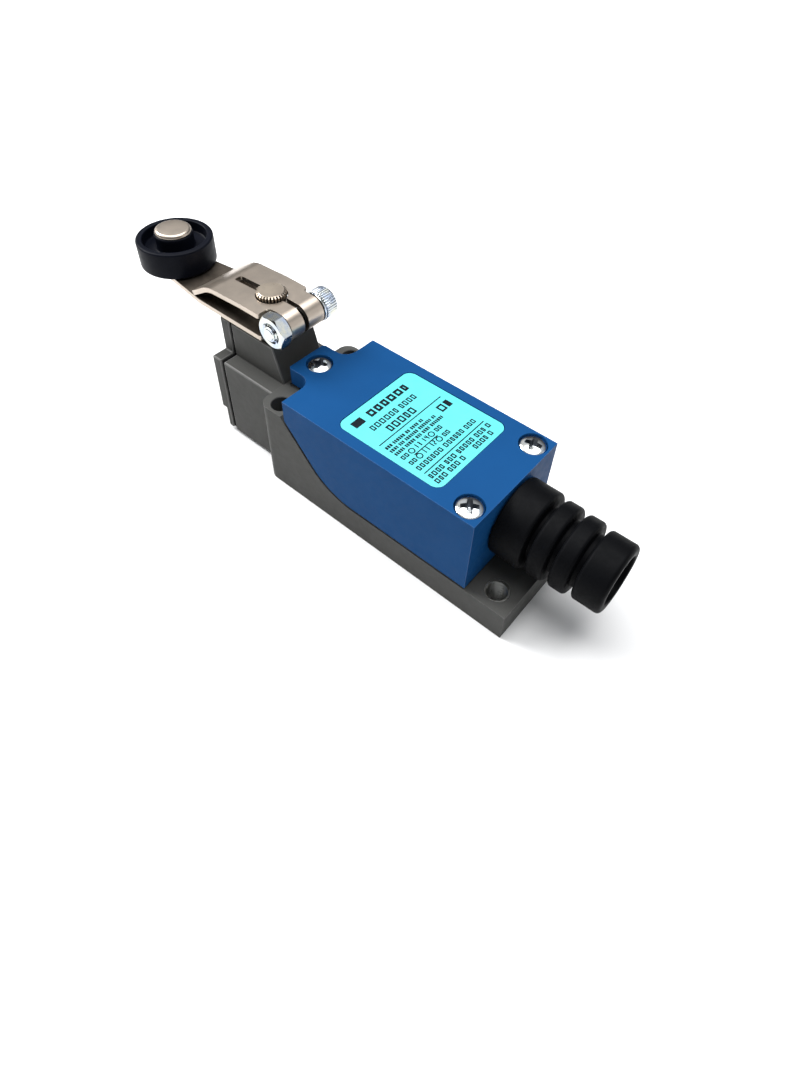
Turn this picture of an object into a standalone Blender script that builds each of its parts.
"""Panel-mounted limit switch with a side-turning roller lever, lying on its back.

The frame: X runs along the body from the roller (-X) to the cable boot (+X), Y runs across it
and Z rises from the mounting face at Z = 0 through the cover.  The origin is the centre of the
four mounting holes, on the mounting face.  Lengths are in metres.
"""
import math

import bmesh
import bpy
from mathutils import Matrix, Vector

MM = 0.001
GAP = 0.25 * MM                  # clearance kept between pieces that touch

# Body
HALF_WIDTH = 14.0 * MM           # base and cover, across Y
HOLE_X = 29.0 * MM               # mounting holes, either side of the origin
EAR_HOLE_Y = 11.0 * MM
EAR_HOLE_RADIUS = 2.2 * MM
FLANGE_HOLE_Y = 9.6 * MM
FLANGE_HOLE_RADIUS = 2.1 * MM    # core of the M5 thread
FLANGE_END = 33.7 * MM
FLANGE_TOP = 7.2 * MM
EAR_END = -33.1 * MM
EAR_TOP = 22.3 * MM
EAR_CORNER = 2.8 * MM
FLOOR = 2.0 * MM
EDGE = 0.5 * MM                  # rounding of the cast edges

# Cover
COVER_TOP = 27.3 * MM
COVER_END = 24.0 * MM            # face that the boot passes through
COVER_HEAD_END = -25.0 * MM      # end of the full width
TONGUE_END = -32.0 * MM
TONGUE_HALF_WIDTH = 5.4 * MM
TONGUE_SEAT_DEPTH = 0.3 * MM     # step in the base that frees the ears of the tongue
NOTCH_RADIUS = 3.0 * MM
COVER_WALL = 1.8 * MM
JOINT_GAP = 0.75 * MM            # between base and cover, filled by the gasket
BLEND_START = -6.0 * MM          # parting line leaves the flange height
BLEND_RADIUS = 15.7 * MM
PARTING_SLOPE = math.radians(49.0)
COVER_SCREWS = ((-28.0 * MM, 0.0), (20.45 * MM, -10.55 * MM), (20.45 * MM, 10.55 * MM))
SCREW_RECESS_RADIUS = 3.0 * MM
SCREW_RECESS_DEPTH = 1.4 * MM
LABEL_X = (-12.1 * MM, 13.9 * MM)
LABEL_HALF_WIDTH = 11.3 * MM
LABEL_CORNER = 2.0 * MM

# Head
SHAFT_X = -41.4 * MM
BLOCK_END = -49.2 * MM
BLOCK_HALF_WIDTH = 10.0 * MM
BLOCK_BOTTOM = 0.6 * MM
LEDGE_TOP = 22.0 * MM
TOWER_HALF_WIDTH = 6.2 * MM
TOWER_TOP = 30.8 * MM
TOWER_FOOT_X = -33.2 * MM
TOWER_SHOULDER_X = -35.9 * MM
CAP_INNER = -49.95 * MM
CAP_OUTER = -52.9 * MM
CAP_LIP_HEIGHT = 6.6 * MM
CHAMBER_HALF_WIDTH = 5.6 * MM
CHAMBER_Z = (3.0 * MM, 19.0 * MM)
CHAMBER_X = -33.6 * MM
ROD_Z = 10.0 * MM                # axis of push rod, cam and contact carrier
BUSH_BORE_RADIUS = 5.0 * MM
CAP_SCREW_Y = 7.4 * MM
CAP_SCREW_Z = (4.4 * MM, 18.4 * MM)

# Lever, roller and clamp
SHEET = 1.1 * MM
LEVER_HALF_WIDTH = 7.0 * MM
LEVER_BOTTOM = 32.1 * MM
LEVER_TOP = 38.8 * MM
ROLL_X = -34.9 * MM              # axis of the rolled end and of the clamp bolt
SHOULDER_X = -37.6 * MM              # far side; the near side is cut back for the nut
NUT_SHOULDER_X = -38.1 * MM
LUG_NEAR_Y = -3.7 * MM
LUG_FAR_Y = 5.7 * MM
FALL_START = -44.0 * MM          # the top sheet falls gently from here to the curl
FALL = 0.5 * MM
CURL_START = -52.5 * MM
CURL_RADIUS = 8.0 * MM
CURL_ANGLE = math.radians(32.0)
SLOT_END = -52.2 * MM
SLOT_ARM_Y = (-1.15 * MM, 0.8 * MM)
SLOT_ROLL_Y = (0.0 * MM, 1.2 * MM)
TAPER_START = -58.5 * MM
ROLLER_X = -74.15 * MM
ARM_END_RADIUS = 5.0 * MM
SHAFT_RADIUS = 3.3 * MM
SHAFT_TOP = 40.0 * MM
ROLLER_RADIUS = 8.8 * MM
ROLLER_Z = (33.55 * MM, 39.8 * MM)
RIVET_TOP = 41.9 * MM
RIVET_HEAD_RADIUS = 4.15 * MM
HUB_TOP = 40.9 * MM
BOLT_RADIUS = 2.0 * MM
NUT_RADIUS = 4.04 * MM           # across corners, 7 mm across flats
NUT_TURN = math.radians(8.0)
NUT_THICKNESS = 2.8 * MM
BOLT_HEAD = (3.5 * MM, 3.2 * MM)  # radius and height

# Cable boot
BOOT_Z = 18.3 * MM
BOOT_BORE = 4.3 * MM
BOOT_MOUTH = 5.3 * MM            # the bore widens at the cable end
BOOT_CORE = 5.7 * MM
BOOT_RIBS = ((24.3, 31.0, 8.5), (32.2, 35.8, 8.1), (37.0, 40.6, 7.85), (41.8, 47.8, 7.4))

# Switching unit
BLOCK_X = (-18.0 * MM, 8.0 * MM)
BLOCK_Y = 9.5 * MM
BLOCK_Z = (2.3 * MM, 14.0 * MM)
STRIP = 0.8 * MM                 # contact and terminal strip
BRIDGE_NC_X = -10.1 * MM
BRIDGE_NO_X = -1.6 * MM
BRIDGE_Z = (9.0 * MM, 11.5 * MM)
TERMINAL_Y = 6.9 * MM

MATERIALS = {
    "cast_grey": ((0.115, 0.115, 0.11), 0.55, 0.3),
    "cover_blue": ((0.022, 0.115, 0.36), 0.45, 0.0),
    "rubber": ((0.008, 0.008, 0.009), 0.6, 0.0),
    "nickel": ((0.50, 0.44, 0.38), 0.3, 1.0),
    "zinc": ((0.62, 0.65, 0.68), 0.25, 1.0),
    "label_film": ((0.16, 0.92, 0.93), 0.35, 0.0),
    "nylon": ((0.012, 0.012, 0.015), 0.4, 0.0),
    "moulding": ((0.045, 0.02, 0.012), 0.5, 0.0),
    "brass": ((0.60, 0.42, 0.14), 0.3, 1.0),
    "silver": ((0.8, 0.78, 0.74), 0.25, 1.0),
    "bronze": ((0.45, 0.27, 0.12), 0.45, 1.0),
    "spring_steel": ((0.45, 0.45, 0.46), 0.3, 1.0),
}


# ---------------------------------------------------------------- helpers

def clear_scene():
    for item in list(bpy.data.objects):
        bpy.data.objects.remove(item, do_unlink=True)


def material(name):
    found = bpy.data.materials.get(name)
    if found:
        return found
    colour, roughness, metallic = MATERIALS[name]
    made = bpy.data.materials.new(name)
    made.use_nodes = True
    shader = made.node_tree.nodes["Principled BSDF"]
    shader.inputs["Base Color"].default_value = (*colour, 1.0)
    shader.inputs["Roughness"].default_value = roughness
    shader.inputs["Metallic"].default_value = metallic
    made.diffuse_color = (*colour, 1.0)
    return made


def pivot(name, location):
    empty = bpy.data.objects.new(name, None)
    empty.location = location
    empty.empty_display_size = 0.01
    bpy.context.collection.objects.link(empty)
    return empty


def add_object(name, bm, material_name, parent=None):
    """Turn a bmesh in world coordinates into a named part, hung on its joint's empty."""
    if parent:
        bmesh.ops.translate(bm, vec=-parent.location, verts=bm.verts)
    bmesh.ops.recalc_face_normals(bm, faces=bm.faces)
    mesh = bpy.data.meshes.new(name)
    bm.to_mesh(mesh)
    bm.free()
    mesh.shade_smooth()
    mesh.set_sharp_from_angle(angle=math.radians(35.0))
    mesh.materials.append(material(material_name))
    made = bpy.data.objects.new(name, mesh)
    made.parent = parent
    bpy.context.collection.objects.link(made)
    return made


def add_tool(name, bm):
    """A guide body for a Boolean, left out of the build."""
    tool = add_object(name, bm, "cast_grey")
    tool.hide_render = True
    tool.display_type = "WIRE"
    return tool


def boolean(target, operation, name, bm):
    change = target.modifiers.new(name, "BOOLEAN")
    change.operation = operation
    change.solver = "EXACT"
    change.object = add_tool(f"tool_{target.name}_{name}", bm)


def cut(target, name, bm):
    boolean(target, "DIFFERENCE", name, bm)


def join(target, name, bm):
    boolean(target, "UNION", name, bm)


def keep(target, name, bm):
    boolean(target, "INTERSECT", name, bm)


def bevel(target, width, segments=2):
    change = target.modifiers.new("rounded_edges", "BEVEL")
    change.width = width
    change.segments = segments
    change.limit_method = "ANGLE"
    change.angle_limit = math.radians(40.0)


def prism(outline, axis, low, high):
    """Extrude a closed outline: (x, y) along Z, (x, z) along Y or (y, z) along X."""
    place = {"X": lambda u, v: (low, u, v), "Y": lambda u, v: (u, low, v), "Z": lambda u, v: (u, v, low)}
    bm = bmesh.new()
    face = bm.faces.new([bm.verts.new(place[axis](u, v)) for u, v in outline])
    grown = bmesh.ops.extrude_face_region(bm, geom=[face])["geom"]
    step = Vector([high - low if letter == axis else 0.0 for letter in "XYZ"])
    bmesh.ops.translate(bm, vec=step, verts=[g for g in grown if isinstance(g, bmesh.types.BMVert)])
    bmesh.ops.recalc_face_normals(bm, faces=bm.faces)
    return bm


def block(x, y, z):
    return prism([(x[0], y[0]), (x[1], y[0]), (x[1], y[1]), (x[0], y[1])], "Z", z[0], z[1])


def turned(profile, centre, axis, segments=32):
    """Spin (radius, height) points about an axis; a profile that never meets the axis is a ring."""
    bm = bmesh.new()
    ring = all(radius > 1e-9 for radius, _ in profile)
    verts = [bm.verts.new((radius, 0.0, height)) for radius, height in profile]
    pairs = list(zip(verts, verts[1:]))
    if ring:
        pairs.append((verts[-1], verts[0]))
    edges = [bm.edges.new(pair) for pair in pairs]
    bmesh.ops.spin(bm, geom=verts + edges, axis=(0, 0, 1), cent=(0, 0, 0),
                   angle=math.tau, steps=segments, use_duplicate=False)
    bmesh.ops.remove_doubles(bm, verts=bm.verts, dist=1e-6)
    bmesh.ops.recalc_face_normals(bm, faces=bm.faces)
    order = {"X": ((0, 0, 1), (1, 0, 0), (0, 1, 0)), "Y": ((0, 1, 0), (0, 0, 1), (1, 0, 0)),
             "Z": ((1, 0, 0), (0, 1, 0), (0, 0, 1))}[axis]
    bmesh.ops.transform(bm, matrix=Matrix(order).to_4x4(), verts=bm.verts)
    bmesh.ops.translate(bm, vec=centre, verts=bm.verts)
    return bm


def rod(radius, low, high, centre, axis, segments=24):
    """A plain cylinder from low to high along its axis, measured from centre."""
    return turned([(0, low), (radius, low), (radius, high), (0, high)], centre, axis, segments)


def tube(inner, outer, low, high, centre, axis, segments=32):
    return turned([(inner, low), (outer, low), (outer, high), (inner, high)], centre, axis, segments)


def gathered(*bodies):
    """Separate bodies in one mesh, so that one Boolean cuts them all."""
    together = bmesh.new()
    for bm in bodies:
        mesh = bpy.data.meshes.new("gathered")
        bm.to_mesh(mesh)
        bm.free()
        together.from_mesh(mesh)
        bpy.data.meshes.remove(mesh)
    return together


def arc(centre, radius, start, end, steps):
    """Points on a circle from one angle to another, in degrees, both ends included."""
    angles = [math.radians(start + (end - start) * i / steps) for i in range(steps + 1)]
    return [(centre[0] + radius * math.cos(a), centre[1] + radius * math.sin(a)) for a in angles]


def rounded_rectangle(x, y, radius, steps=5):
    corners = ((x[1] - radius, y[1] - radius, 0), (x[0] + radius, y[1] - radius, 90),
               (x[0] + radius, y[0] + radius, 180), (x[1] - radius, y[0] + radius, 270))
    return [point for cx, cy, turn in corners for point in arc((cx, cy), radius, turn, turn + 90, steps)]


def mirrored(half):
    """Close a half outline, given from +X to -X on the +Y side, with its mirror image."""
    return half + [(x, -y) for x, y in reversed(half)]


def coil(name, x_range, axis_point, radius, wire, turns, parent=None):
    """A compression spring along X."""
    curve = bpy.data.curves.new(name, "CURVE")
    curve.dimensions = "3D"
    curve.bevel_depth = wire / 2
    curve.bevel_resolution = 1
    curve.use_fill_caps = True
    steps = int(turns * 12)
    spline = curve.splines.new("POLY")
    spline.points.add(steps)
    shift = parent.location if parent else Vector((0, 0, 0))
    for i, point in enumerate(spline.points):
        share = i / steps
        angle = share * turns * math.tau
        x = x_range[0] + (x_range[1] - x_range[0]) * share
        y = axis_point[0] + radius * math.cos(angle)
        z = axis_point[1] + radius * math.sin(angle)
        point.co = (x - shift.x, y - shift.y, z - shift.z, 1.0)
    curve.materials.append(material("spring_steel"))
    made = bpy.data.objects.new(name, curve)
    made.parent = parent
    bpy.context.collection.objects.link(made)
    return made


# ---------------------------------------------------------------- parting line

def parting_line(offset):
    """The base-to-cover joint in XZ, from the flange to the ears, shifted square to itself."""
    height = FLANGE_TOP + offset
    bend = arc((BLEND_START, FLANGE_TOP + BLEND_RADIUS), BLEND_RADIUS - offset,
               -90.0, -90.0 - math.degrees(PARTING_SLOPE), 8)
    last = bend[-1]
    rise = EAR_TOP + offset - last[1]
    top = (last[0] - rise / math.tan(PARTING_SLOPE), EAR_TOP + offset)
    return [(FLANGE_END, height)] + bend + [top]


def pocket_outline(head_end, side, boot_end, boss_x, boss_y):
    """Plan of the inside of base or cover, stepped round the two screw bosses."""
    return mirrored([(boot_end, boss_y), (boss_x, boss_y), (boss_x, side), (head_end, side)])


def cover_plan(inset):
    """Plan of the cover: full width, then a filleted tongue between the ears."""
    side = HALF_WIDTH - inset
    half = TONGUE_HALF_WIDTH - inset
    head_end = COVER_HEAD_END + inset
    radius = NOTCH_RADIUS + inset
    fillet = arc((head_end - NOTCH_RADIUS - inset, half + radius), radius, 0, -90, 6)
    return mirrored([(COVER_END - inset, side), (head_end, side)] + fillet
                    + [(TONGUE_END + inset + EDGE, half), (TONGUE_END + inset, half - EDGE)])


# ---------------------------------------------------------------- housing

def build_base():
    top_points = parting_line(0.0)
    outline = top_points + [(EAR_END, EAR_TOP), (EAR_END, 0.0), (FLANGE_END, 0.0)]
    base = add_object("base_housing", prism(outline, "Y", -HALF_WIDTH, HALF_WIDTH), "cast_grey")
    plan = rounded_rectangle((EAR_END, FLANGE_END + 10 * MM), (-HALF_WIDTH, HALF_WIDTH), EAR_CORNER)
    keep(base, "ear_corners", prism(plan, "Z", -1 * MM, EAR_TOP + 1 * MM))
    bevel(base, EDGE)
    cut(base, "tongue_seat", prism(cover_plan(-0.3 * MM), "Z", EAR_TOP - TONGUE_SEAT_DEPTH,
                                   EAR_TOP + 5 * MM))
    head = block((BLOCK_END, EAR_END + 3 * MM), (-BLOCK_HALF_WIDTH, BLOCK_HALF_WIDTH),
                 (BLOCK_BOTTOM, LEDGE_TOP))
    join(base, "head_block", head)
    tower = prism([(BLOCK_END, LEDGE_TOP - 2 * MM), (TOWER_FOOT_X + 0.6 * MM, LEDGE_TOP - 2 * MM),
                   (TOWER_SHOULDER_X, TOWER_TOP), (BLOCK_END, TOWER_TOP)],
                  "Y", -TOWER_HALF_WIDTH, TOWER_HALF_WIDTH)
    join(base, "head_tower", tower)
    plan = pocket_outline(-24.0 * MM, 11.8 * MM, 22.0 * MM, 16.8 * MM, 7.4 * MM)
    cut(base, "wiring_space", prism(plan, "Z", FLOOR, EAR_TOP + 5 * MM))
    cut(base, "cam_chamber", block((BLOCK_END - 1 * MM, CHAMBER_X),
                                   (-CHAMBER_HALF_WIDTH, CHAMBER_HALF_WIDTH), CHAMBER_Z))
    cut(base, "rod_bore", rod(2.1 * MM, CHAMBER_X - 1 * MM, -23.0 * MM, (0, 0, ROD_Z), "X"))
    cut(base, "bush_bore", rod(BUSH_BORE_RADIUS, CHAMBER_Z[1] - 1 * MM, TOWER_TOP + 1 * MM,
                               (SHAFT_X, 0, 0), "Z", 32))
    cut(base, "foot_bearing", rod(2.3 * MM, 1.7 * MM, CHAMBER_Z[0] + 1 * MM, (SHAFT_X, 0, 0), "Z"))
    for side in (-1, 1):
        cut(base, f"ear_hole_{side}", rod(EAR_HOLE_RADIUS, -1 * MM, EAR_TOP + 1 * MM,
                                          (-HOLE_X, side * EAR_HOLE_Y, 0), "Z"))
        cut(base, f"flange_hole_{side}", rod(FLANGE_HOLE_RADIUS, -1 * MM, FLANGE_TOP + 1 * MM,
                                             (HOLE_X, side * FLANGE_HOLE_Y, 0), "Z"))
        for z in CAP_SCREW_Z:
            cut(base, f"cap_screw_hole_{side}_{z:.4f}", rod(1.25 * MM, BLOCK_END - 1 * MM,
                BLOCK_END + 5 * MM, (0, side * CAP_SCREW_Y, z), "X", 12))
    for number, (x, y) in enumerate(COVER_SCREWS, 1):
        bottom = 14.5 * MM if number == 1 else 1.9 * MM
        cut(base, f"cover_screw_hole_{number}", rod(1.75 * MM, bottom, EAR_TOP + 2 * MM, (x, y, 0), "Z", 16))


def build_cover():
    edge = parting_line(JOINT_GAP)
    tip = TONGUE_END - 1 * MM
    outline = edge + [(tip, edge[-1][1]), (tip, COVER_TOP), (FLANGE_END, COVER_TOP)]
    cover = add_object("cover", prism(outline, "Y", -HALF_WIDTH - 1 * MM, HALF_WIDTH + 1 * MM), "cover_blue")
    keep(cover, "plan", prism(cover_plan(0.0), "Z", 0, COVER_TOP + 1 * MM))
    bevel(cover, EDGE * 0.8)
    inside = pocket_outline(-21.0 * MM, HALF_WIDTH - COVER_WALL, COVER_END - COVER_WALL, 16.8 * MM, 7.4 * MM)
    cut(cover, "inside", prism(inside, "Z", 0.0, COVER_TOP - COVER_WALL))
    cut(cover, "boot_hole", rod(6.3 * MM, 18 * MM, 26 * MM, (0, 0, BOOT_Z), "X", 32))
    label = rounded_rectangle((LABEL_X[0] - 0.3 * MM, LABEL_X[1] + 0.3 * MM),
                              (-LABEL_HALF_WIDTH - 0.3 * MM, LABEL_HALF_WIDTH + 0.3 * MM),
                              LABEL_CORNER + 0.3 * MM)
    cut(cover, "label_recess", prism(label, "Z", COVER_TOP - 0.6 * MM, COVER_TOP + 1 * MM))
    seat = COVER_TOP - SCREW_RECESS_DEPTH
    drill = [(0, 5 * MM), (1.75 * MM, 5 * MM), (1.75 * MM, seat), (SCREW_RECESS_RADIUS, seat),
             (SCREW_RECESS_RADIUS, COVER_TOP + 1 * MM), (0, COVER_TOP + 1 * MM)]
    cut(cover, "screw_seats", gathered(*(turned(drill, (x, y, 0), "Z", 24) for x, y in COVER_SCREWS)))


def build_gasket():
    lower = parting_line(GAP)
    upper = parting_line(JOINT_GAP - GAP)
    tip = TONGUE_END + 1.0 * MM
    outline = lower + [(tip, lower[-1][1]), (tip, upper[-1][1])] + upper[::-1]
    gasket = add_object("cover_gasket", prism(outline, "Y", -20 * MM, 20 * MM), "rubber")
    keep(gasket, "outer_edge", prism(cover_plan(0.35 * MM), "Z", 0, 30 * MM))
    plan = pocket_outline(-23.6 * MM, 12.2 * MM, 21.8 * MM, 16.6 * MM, 7.6 * MM)
    cut(gasket, "inner_edge", prism(plan, "Z", 0, EAR_TOP - 1 * MM))
    for number, (x, y) in enumerate(COVER_SCREWS, 1):
        cut(gasket, f"screw_hole_{number}", rod(1.8 * MM, 0, 30 * MM, (x, y, 0), "Z", 16))


def build_label():
    plan = rounded_rectangle(LABEL_X, (-LABEL_HALF_WIDTH, LABEL_HALF_WIDTH), LABEL_CORNER)
    add_object("label_plate", prism(plan, "Z", COVER_TOP - 0.4 * MM, COVER_TOP - 0.12 * MM), "label_film")


def screw(name, centre, axis, seat, direction, head, shank, end, parent=None, finish="zinc"):
    """A pan-head screw: its head stands from the seat, its shank runs the other way to end."""
    radius, height = head
    profile = [(0, end), (shank, end), (shank, seat), (radius, seat),
               (radius, seat + direction * height * 0.55), (radius * 0.8, seat + direction * height * 0.85),
               (radius * 0.45, seat + direction * height), (0, seat + direction * height)]
    return add_object(name, turned(profile, centre, axis, 20), finish, parent)


def build_cover_screws():
    seat = COVER_TOP - SCREW_RECESS_DEPTH + GAP
    for number, (x, y) in enumerate(COVER_SCREWS, 1):
        end = 15.0 * MM if number == 1 else 2.4 * MM
        screw(f"cover_screw_{number}", (x, y, 0), "Z", seat, 1, (2.85 * MM, 1.35 * MM), 1.5 * MM, end)


def build_end_cap():
    y, t = BLOCK_HALF_WIDTH + 0.1 * MM, TOWER_HALF_WIDTH
    step = LEDGE_TOP + 0.1 * MM
    outline = [(-y, 0.9 * MM), (y, 0.9 * MM), (y, step), (t, step), (t, TOWER_TOP),
               (-t, TOWER_TOP), (-t, step), (-y, step)]
    cap = add_object("head_end_cap", prism(outline, "X", CAP_OUTER, CAP_INNER), "cast_grey")
    bevel(cap, EDGE)
    cut(cap, "lower_lip", block((CAP_OUTER - 1 * MM, CAP_OUTER + 1.4 * MM), (-15 * MM, 15 * MM),
                                (-1 * MM, CAP_LIP_HEIGHT)))
    cut(cap, "spring_seat", rod(3.4 * MM, CAP_OUTER + 1.1 * MM, CAP_INNER + 1 * MM, (0, 0, ROD_Z), "X"))
    seal = [(u * 0.97, v + (0.3 * MM if v < 1 * MM else -0.3 * MM)) for u, v in outline]
    gasket = add_object("end_cap_gasket", prism(seal, "X", CAP_INNER + GAP, BLOCK_END - GAP), "rubber")
    cut(gasket, "window", block((CAP_INNER - 1 * MM, BLOCK_END + 1 * MM),
                                (-CHAMBER_HALF_WIDTH, CHAMBER_HALF_WIDTH), CHAMBER_Z))
    number = 0
    for side in (-1, 1):
        for z in CAP_SCREW_Z:
            number += 1
            low = z < CAP_LIP_HEIGHT
            face = CAP_OUTER + (1.4 * MM if low else 0.0)
            centre = (0, side * CAP_SCREW_Y, z)
            cut(cap, f"screw_hole_{number}", rod(1.25 * MM, CAP_OUTER - 1 * MM, CAP_INNER + 1 * MM,
                                                 centre, "X", 12))
            cut(gasket, f"screw_hole_{number}", rod(1.25 * MM, CAP_INNER - 1 * MM, BLOCK_END + 1 * MM,
                                                    centre, "X", 12))
            depth = 0.4 * MM if low else 0.9 * MM
            cut(cap, f"screw_recess_{number}", rod(1.95 * MM, CAP_OUTER - 1 * MM, face + depth,
                                                   centre, "X", 16))
            screw(f"end_cap_screw_{number}", centre, "X", face + depth - GAP, -1,
                  (1.7 * MM, 0.9 * MM), 1.0 * MM, BLOCK_END + 4 * MM)


def build_boot():
    inner_end = COVER_END - COVER_WALL - GAP
    profile = [(BOOT_BORE, 20.3 * MM), (7.0 * MM, 20.3 * MM), (7.0 * MM, inner_end),
               (6.0 * MM, inner_end), (6.0 * MM, BOOT_RIBS[0][0] * MM)]
    for number, (start, end, radius) in enumerate(BOOT_RIBS):
        start, end, radius = start * MM, end * MM, radius * MM
        soft = 0.7 * MM
        if number:
            profile += [(BOOT_CORE, start), (radius - soft, start), (radius, start + soft)]
        else:
            profile += [(radius, start)]
        if number < len(BOOT_RIBS) - 1:
            profile += [(radius, end - soft), (radius - soft, end), (BOOT_CORE, end)]
        else:
            profile += arc((radius - 1.0 * MM, end - 1.0 * MM), 1.0 * MM, 0, 90, 4)
            profile += [(BOOT_MOUTH, end), (BOOT_MOUTH, end - 3 * MM), (BOOT_BORE, end - 4 * MM)]
    add_object("cable_boot", turned(profile, (0, 0, BOOT_Z), "X", 28), "rubber")


# ---------------------------------------------------------------- head

def build_shaft_parts(lever_pivot):
    profile = [(0, 1.95 * MM), (2.0 * MM, 1.95 * MM), (2.0 * MM, 5.2 * MM), (3.0 * MM, 5.2 * MM),
               (3.0 * MM, 18.0 * MM), (SHAFT_RADIUS, 18.3 * MM), (SHAFT_RADIUS, SHAFT_TOP - 0.4 * MM),
               (SHAFT_RADIUS - 0.4 * MM, SHAFT_TOP), (0, SHAFT_TOP)]
    add_object("actuator_shaft", turned(profile, (SHAFT_X, 0, 0), "Z", 32), "nickel", lever_pivot)
    radius, flat = 4.6 * MM, 3.3 * MM + GAP
    lobe = math.degrees(math.acos(flat / radius))
    outline = [(SHAFT_X + x, y) for x, y in arc((0, 0), radius, lobe, 180 - lobe, 8)]
    outline += [(SHAFT_X + x, y) for x, y in arc((0, 0), radius, 180 + lobe, 360 - lobe, 8)]
    cam = add_object("shaft_cam", prism(outline, "Z", 6.5 * MM, 13.5 * MM), "nickel", lever_pivot)
    cut(cam, "shaft_hole", rod(3.0 * MM + 0.2 * MM, 5 * MM, 15 * MM, (SHAFT_X, 0, 0), "Z"))
    clip = tube(2.0 * MM + 0.2 * MM, 3.6 * MM, 4.1 * MM, 4.9 * MM, (SHAFT_X, 0, 0), "Z", 24)
    add_object("shaft_clip", clip, "spring_steel", lever_pivot)
    bush = tube(SHAFT_RADIUS + GAP, BUSH_BORE_RADIUS - GAP, CHAMBER_Z[1] + GAP, 28.4 * MM, (SHAFT_X, 0, 0), "Z")
    add_object("shaft_bush", bush, "bronze")
    ring = turned(arc((4.15 * MM, 29.3 * MM), 0.62 * MM, 0, 300, 5), (SHAFT_X, 0, 0), "Z", 24)
    add_object("shaft_seal_ring", ring, "rubber")


def build_plungers(rod_pivot, follower_pivot):
    tip = SHAFT_X + 4.6 * MM + 0.35 * MM
    profile = [(0, tip), (2.6 * MM, tip), (3.0 * MM, tip + 0.4 * MM), (3.0 * MM, tip + 1.2 * MM),
               (1.8 * MM, tip + 1.2 * MM), (1.8 * MM, -20.0 * MM), (0, -20.0 * MM)]
    add_object("push_rod", turned(profile, (0, 0, ROD_Z), "X", 24), "brass", rod_pivot)
    face = SHAFT_X - 4.6 * MM - 0.35 * MM
    profile = [(0, face - 2.2 * MM), (1.2 * MM, face - 2.2 * MM), (1.2 * MM, face - 1.2 * MM),
               (3.6 * MM, face - 1.2 * MM), (3.6 * MM, face), (0, face)]
    add_object("return_follower", turned(profile, (0, 0, ROD_Z), "X", 24), "brass", follower_pivot)
    coil("return_spring", (CAP_OUTER + 1.1 * MM + 0.6 * MM, face - 1.2 * MM - 0.5 * MM), (0.0, ROD_Z),
         2.3 * MM, 0.6 * MM, 2.5)


# ---------------------------------------------------------------- lever and roller

def build_lever(lever_pivot):
    inner, outer = (LEVER_TOP - LEVER_BOTTOM) / 2 - SHEET, (LEVER_TOP - LEVER_BOTTOM) / 2
    middle = (LEVER_TOP + LEVER_BOTTOM) / 2
    arm_end = ROLLER_X - ARM_END_RADIUS
    fall = math.atan2(FALL, FALL_START - CURL_START)
    bend_centre = (CURL_START + CURL_RADIUS * math.sin(fall),
                   LEVER_TOP - FALL - CURL_RADIUS * math.cos(fall))
    start, end = 90.0 + math.degrees(fall), 90.0 + math.degrees(CURL_ANGLE)
    down = (-math.cos(CURL_ANGLE), -math.sin(CURL_ANGLE))
    inside = arc(bend_centre, CURL_RADIUS - SHEET, end, start, 4)
    outside = arc(bend_centre, CURL_RADIUS, start, end, 4)
    run = (inside[0][1] - LEVER_BOTTOM - SHEET - 0.2 * MM) / -down[1]
    outline = [(arm_end, LEVER_BOTTOM)] + arc((ROLL_X, middle), outer, -90, 90, 14)
    outline += [(FALL_START, LEVER_TOP)] + outside
    outline += [(x + down[0] * run, z + down[1] * run) for x, z in (outside[-1], inside[0])]
    outline += inside + [(FALL_START + SHEET * math.tan(fall / 2), LEVER_TOP - SHEET)]
    outline += arc((ROLL_X, middle), inner, 90, -90, 12) + [(arm_end, LEVER_BOTTOM + SHEET)]
    lever = add_object("roller_lever", prism(outline, "Y", -10 * MM, 10 * MM), "nickel", lever_pivot)
    nose = ROLL_X + outer + 1 * MM
    taper = math.degrees(math.atan2(LEVER_HALF_WIDTH - ARM_END_RADIUS, TAPER_START - ROLLER_X))
    plan = [(nose, LUG_FAR_Y), (SHOULDER_X, LUG_FAR_Y), (SHOULDER_X, LEVER_HALF_WIDTH),
            (TAPER_START, LEVER_HALF_WIDTH)]
    plan += arc((ROLLER_X, 0), ARM_END_RADIUS, 90 + taper, 270 - taper, 14)
    plan += [(TAPER_START, -LEVER_HALF_WIDTH), (NUT_SHOULDER_X, -LEVER_HALF_WIDTH),
             (NUT_SHOULDER_X, LUG_NEAR_Y), (nose, LUG_NEAR_Y)]
    keep(lever, "blank", prism(plan, "Z", 30 * MM, 42 * MM))
    cut(lever, "arm_slot", block((SLOT_END, SHAFT_X), SLOT_ARM_Y, (30 * MM, 42 * MM)))
    cut(lever, "roll_slot", block((SHAFT_X, nose), SLOT_ROLL_Y, (30 * MM, 42 * MM)))
    cut(lever, "shaft_hole", rod(SHAFT_RADIUS + GAP, 30 * MM, 42 * MM, (SHAFT_X, 0, 0), "Z", 32))
    cut(lever, "rivet_hole", rod(2.5 * MM + GAP, 30 * MM, 42 * MM, (ROLLER_X, 0, 0), "Z", 20))


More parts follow.
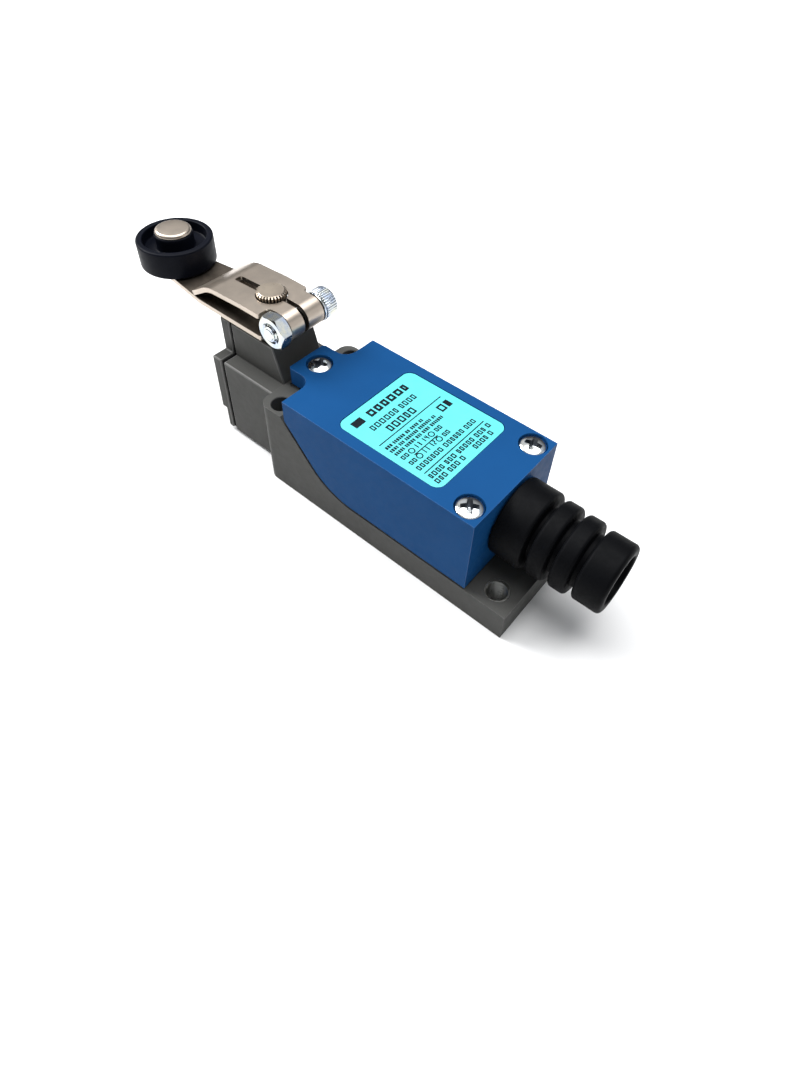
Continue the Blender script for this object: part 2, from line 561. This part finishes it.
def build_clamp(lever_pivot):
    centre = (ROLL_X, 0, (LEVER_TOP + LEVER_BOTTOM) / 2)
    washer_face = LUG_FAR_Y + GAP
    washer = tube(BOLT_RADIUS + GAP, 3.4 * MM, washer_face, washer_face + 0.6 * MM, centre, "Y", 28)
    add_object("clamp_spring_washer", washer, "zinc", lever_pivot)
    seat = washer_face + 0.6 * MM + GAP
    head, height = BOLT_HEAD
    socket, depth = 1.6 * MM, 2.0 * MM
    profile = [(0, LUG_NEAR_Y - 3.6 * MM), (BOLT_RADIUS - 0.4 * MM, LUG_NEAR_Y - 3.6 * MM),
               (BOLT_RADIUS, LUG_NEAR_Y - 3.2 * MM), (BOLT_RADIUS, seat), (head, seat),
               (head, seat + height - 0.3 * MM), (head - 0.3 * MM, seat + height), (socket, seat + height),
               (socket, seat + height - depth), (0, seat + height - depth)]
    add_object("clamp_bolt", turned(profile, centre, "Y", 28), "zinc", lever_pivot)
    hexagon = [(centre[0] + NUT_RADIUS * math.cos(NUT_TURN + i * math.pi / 3),
                centre[2] + NUT_RADIUS * math.sin(NUT_TURN + i * math.pi / 3)) for i in range(6)]
    nut = add_object("clamp_nut", prism(hexagon, "Y", LUG_NEAR_Y - GAP - NUT_THICKNESS, LUG_NEAR_Y - GAP),
                     "zinc", lever_pivot)
    cut(nut, "thread", rod(BOLT_RADIUS + GAP, -10 * MM, 0, centre, "Y"))


def build_roller(lever_pivot, roller_pivot):
    low, high = ROLLER_Z
    rim, hub, bore = 7.3 * MM, 4.4 * MM, 2.5 * MM + GAP
    floor, soft = high - 2.4 * MM, 0.5 * MM
    profile = [(bore, low), (ROLLER_RADIUS - soft, low), (ROLLER_RADIUS, low + soft),
               (ROLLER_RADIUS, high - soft), (ROLLER_RADIUS - soft, high), (rim, high),
               (rim - 0.2 * MM, floor), (hub, floor), (hub, HUB_TOP), (bore, HUB_TOP)]
    add_object("roller", turned(profile, (ROLLER_X, 0, 0), "Z", 40), "nylon", roller_pivot)
    seat = HUB_TOP + GAP
    profile = [(0, LEVER_BOTTOM - 1.3 * MM), (2.9 * MM, LEVER_BOTTOM - 1.3 * MM),
               (3.6 * MM, LEVER_BOTTOM - 0.8 * MM), (3.6 * MM, LEVER_BOTTOM - GAP),
               (2.5 * MM, LEVER_BOTTOM - GAP), (2.5 * MM, seat), (RIVET_HEAD_RADIUS, seat),
               (RIVET_HEAD_RADIUS, seat + 0.3 * MM), (RIVET_HEAD_RADIUS - 0.5 * MM, RIVET_TOP - 0.1 * MM),
               (2.0 * MM, RIVET_TOP), (0, RIVET_TOP)]
    add_object("roller_rivet", turned(profile, (ROLLER_X, 0, 0), "Z", 32), "nickel", lever_pivot)


# ---------------------------------------------------------------- switching unit

def build_switch_block():
    wall = 1.2 * MM
    body = add_object("switch_block", block(BLOCK_X, (-BLOCK_Y, BLOCK_Y), BLOCK_Z), "moulding")
    channel_end = BLOCK_X[1] - 1.0 * MM
    cut(body, "channel", block((BLOCK_X[0] + wall, channel_end), (-2.4 * MM, 2.4 * MM),
                               (7.2 * MM, BLOCK_Z[1] + 1 * MM)))
    for name, low, high in (("nc", -11.7, -7.4), ("no", -2.2, 2.3)):
        cut(body, f"{name}_slot", block((low * MM, high * MM), (-7.6 * MM, 7.6 * MM),
                                        (8.0 * MM, BLOCK_Z[1] + 1 * MM)))
    cut(body, "button_hole", rod(1.9 * MM, BLOCK_X[0] - 1 * MM, BLOCK_X[0] + 2 * MM, (0, 0, ROD_Z), "X", 20))
    for side in (-1, 1):
        for x in (-13.6 * MM, 4.2 * MM):
            cut(body, f"screw_well_{side}_{x:.4f}", rod(1.6 * MM, 9 * MM, 16 * MM,
                                                        (x, side * TERMINAL_Y, 0), "Z", 12))
    lid = add_object("switch_lid", block((BLOCK_X[0], BLOCK_X[1]), (-3.9 * MM, 3.9 * MM),
                                         (BLOCK_Z[1] + GAP, BLOCK_Z[1] + 1.6 * MM)), "moulding")
    bevel(lid, 0.3 * MM, 1)


def build_terminals():
    """Each strip lies on the block under its screw and turns down into the contact slot."""
    top = BLOCK_Z[1] + GAP
    layout = (("11", 1, -1, -11.2), ("12", -1, -1, -11.2), ("13", 1, 1, 0.9), ("14", -1, 1, 0.9))
    for label, side, way, leg in layout:
        leg = leg * MM
        inner, outer = (leg + STRIP, leg) if way < 0 else (leg, leg + STRIP)
        far = outer + way * 4.8 * MM
        outline = [(inner, 8.5 * MM), (outer, 8.5 * MM), (outer, top), (far, top),
                   (far, top + STRIP), (inner, top + STRIP)]
        near, out = sorted((side * 4.5 * MM, side * 9.1 * MM))
        strip = add_object(f"terminal_{label}", prism(outline, "Y", near, out), "brass")
        cut(strip, "leg_width", block((leg - 1 * MM, leg + STRIP + 1 * MM),
                                      sorted((side * 7.2 * MM, side * 10 * MM)), (8 * MM, top - 0.01 * MM)))
        x = -13.6 * MM if way < 0 else 4.2 * MM
        cut(strip, "screw_hole", rod(1.45 * MM, 12 * MM, 17 * MM, (x, side * TERMINAL_Y, 0), "Z", 12))
        screw(f"terminal_screw_{label}", (x, side * TERMINAL_Y, 0), "Z", top + STRIP + GAP, 1,
              (2.0 * MM, 1.2 * MM), 1.2 * MM, 9.8 * MM)


def build_carrier(carrier_pivot):
    low, high = 7.6 * MM, 12.6 * MM
    bar = block((BLOCK_X[0] + 1.6 * MM, 2.5 * MM), (-1.9 * MM, 1.9 * MM), (low, high))
    carrier = add_object("contact_carrier", bar, "moulding", carrier_pivot)
    join(carrier, "button", rod(1.6 * MM, -19.75 * MM, BLOCK_X[0] + 3 * MM, (0, 0, ROD_Z), "X", 20))
    for name, x in (("nc", BRIDGE_NC_X), ("no", BRIDGE_NO_X)):
        cut(carrier, f"{name}_window", block((x - GAP, x + STRIP + GAP), (-5 * MM, 5 * MM),
                                             (BRIDGE_Z[0] - GAP, BRIDGE_Z[1] + GAP)))
        bridge = block((x, x + STRIP), (-7.0 * MM, 7.0 * MM), BRIDGE_Z)
        add_object(f"contact_bridge_{name}", bridge, "silver", carrier_pivot)
    coil("contact_spring", (2.5 * MM + 0.45 * MM, 7.0 * MM - 0.45 * MM), (0.0, ROD_Z), 1.5 * MM, 0.4 * MM, 3.5)


def main():
    clear_scene()
    middle = (LEVER_TOP + LEVER_BOTTOM) / 2
    lever_pivot = pivot("lever_turn_axis", (SHAFT_X, 0, middle))
    roller_pivot = pivot("roller_spin_axis", (ROLLER_X, 0, middle))
    rod_pivot = pivot("push_rod_axis", (-28.0 * MM, 0, ROD_Z))
    carrier_pivot = pivot("contact_carrier_axis", (-8.0 * MM, 0, ROD_Z))
    follower_pivot = pivot("return_follower_axis", (-47.0 * MM, 0, ROD_Z))
    build_base()
    build_cover()
    build_gasket()
    build_label()
    build_cover_screws()
    build_end_cap()
    build_boot()
    build_shaft_parts(lever_pivot)
    build_plungers(rod_pivot, follower_pivot)
    build_lever(lever_pivot)
    build_clamp(lever_pivot)
    build_roller(lever_pivot, roller_pivot)
    build_switch_block()
    build_terminals()
    build_carrier(carrier_pivot)


main()
